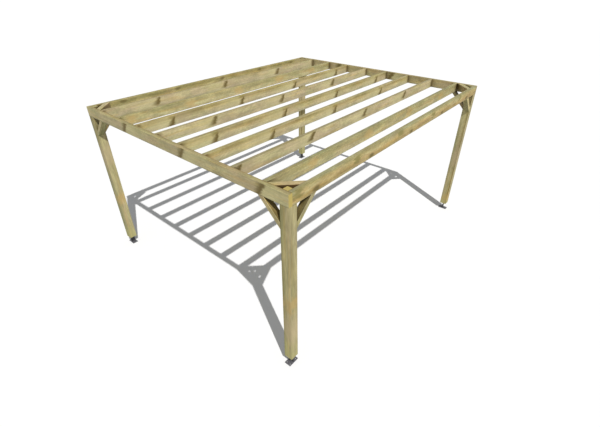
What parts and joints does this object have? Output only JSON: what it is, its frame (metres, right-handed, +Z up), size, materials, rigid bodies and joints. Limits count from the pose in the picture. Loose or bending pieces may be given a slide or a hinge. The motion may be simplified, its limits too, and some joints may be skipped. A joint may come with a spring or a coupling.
{
  "type": "garden pergola",
  "caption": "Free-standing flat-topped timber pergola: square corner posts on bolt-down steel feet, edge beams with level rafters fitted between them, and mitred braces at the corners.",
  "frame": {"origin": "on the ground under the middle of the frame, level with the undersides of the feet", "axes": "+X along the long side, towards the right; +Y along the short side, towards the back; +Z up; the front is -Y"},
  "size_m": [4.23, 3.43, 2.12],
  "materials": {
    "post_timber": "planed, pressure treated",
    "beam_timber": "planed, pressure treated",
    "rafter_timber": "planed, pressure treated",
    "brace_timber": "planed, pressure treated",
    "foot_steel": "matt dark grey coating"
  },
  "bodies": {
    "root": {"post_front_left": "post_timber", "post_front_right": "post_timber", "post_back_left": "post_timber", "post_back_right": "post_timber", "beam_left": "beam_timber", "beam_right": "beam_timber", "beam_front": "beam_timber", "beam_back": "beam_timber", "rafter_1": "rafter_timber", "rafter_2": "rafter_timber", "rafter_3": "rafter_timber", "rafter_4": "rafter_timber", "rafter_5": "rafter_timber", "rafter_6": "rafter_timber", "rafter_7": "rafter_timber", "rafter_8": "rafter_timber", "knee_brace_front_left_long": "brace_timber", "knee_brace_front_left_short": "brace_timber", "corner_brace_front_left": "brace_timber", "knee_brace_front_right_long": "brace_timber", "knee_brace_front_right_short": "brace_timber", "corner_brace_front_right": "brace_timber", "knee_brace_back_left_long": "brace_timber", "knee_brace_back_left_short": "brace_timber", "corner_brace_back_left": "brace_timber", "knee_brace_back_right_long": "brace_timber", "knee_brace_back_right_short": "brace_timber", "corner_brace_back_right": "brace_timber", "foot_front_left": "foot_steel", "foot_front_right": "foot_steel", "foot_back_left": "foot_steel", "foot_back_right": "foot_steel"}
  },
  "joints": []
}
